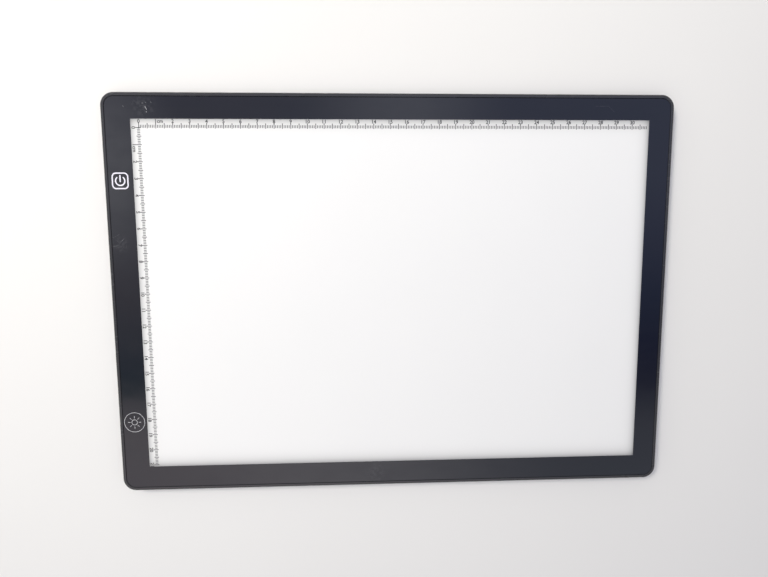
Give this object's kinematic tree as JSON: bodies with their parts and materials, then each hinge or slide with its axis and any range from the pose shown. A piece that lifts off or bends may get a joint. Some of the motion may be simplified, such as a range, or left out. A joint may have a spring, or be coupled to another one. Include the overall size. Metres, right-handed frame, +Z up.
{
  "type": "light box",
  "caption": "Thin A4 LED light box for tracing: an opal drawing surface with centimetre rulers in a black border with a touch key, edge-lit from inside, on rubber feet.",
  "frame": {"origin": "on the surface that the feet stand on, under the middle of the case", "axes": "+X along the case's length, away from the touch key's side; +Y towards the edge with the long ruler; +Z up, out of the drawing surface"},
  "size_m": [0.3486, 0.2478, 0.0075],
  "materials": {
    "black_case": "glossy moulded ABS, fine handling marks",
    "opal_acrylic": "glossy opal white acrylic, darker towards the border",
    "black_ink": "glossy screen-printed black",
    "white_ink": "glossy screen-printed white",
    "foam_tape": "thin foam with adhesive on both faces",
    "diffuser_film": "milky satin film",
    "clear_acrylic": "clear polished acrylic with a dot pattern",
    "white_film": "white reflective film",
    "cushion_foam": "soft closed-cell foam",
    "led_board": "white solder mask",
    "green_board": "green solder mask",
    "steel": "bright plated steel",
    "black_screw": "black zinc",
    "spring_steel": "bright spring wire",
    "chip_plastic": "moulded epoxy",
    "ceramic_tan": "plain",
    "ceramic_black": "plain",
    "connector_plastic": "moulded nylon",
    "red_wire": "PVC insulation",
    "black_wire": "PVC insulation",
    "rubber": "matt anti-slip rubber"
  },
  "bodies": {
    "root": {"bezel_frame": "black_case", "black_lead": "black_wire", "board_screw_1": "steel", "board_screw_2": "steel", "capacitor_1": "ceramic_tan", "capacitor_2": "ceramic_tan", "case_screw_1": "black_screw", "case_screw_2": "black_screw", "case_screw_3": "black_screw", "case_screw_4": "black_screw", "case_screw_5": "black_screw", "case_screw_6": "black_screw", "case_screw_7": "black_screw", "case_screw_8": "black_screw", "control_board": "green_board", "diffuser_sheet": "diffuser_film", "edge_cushion_bottom": "cushion_foam", "edge_cushion_left": "cushion_foam", "edge_cushion_right": "cushion_foam", "foot_1": "rubber", "foot_2": "rubber", "foot_3": "rubber", "foot_4": "rubber", "front_panel": "opal_acrylic", "led_driver_transistor": "chip_plastic", "led_plug": "connector_plastic", "led_socket": "connector_plastic", "led_strip": "led_board", "led_strip_tape": "foam_tape", "light_guide_plate": "clear_acrylic", "panel_tape_bottom": "foam_tape", "panel_tape_left": "foam_tape", "panel_tape_right": "foam_tape", "panel_tape_top": "foam_tape", "printed_border": "black_ink", "rear_cover": "black_case", "red_lead": "red_wire", "reflector_sheet": "white_film", "resistor_1": "ceramic_black", "resistor_2": "ceramic_black", "resistor_3": "ceramic_black", "touch_dimmer_chip": "chip_plastic", "touch_spring": "spring_steel", "usb_insulator": "chip_plastic", "usb_shell": "steel"}
  },
  "joints": []
}
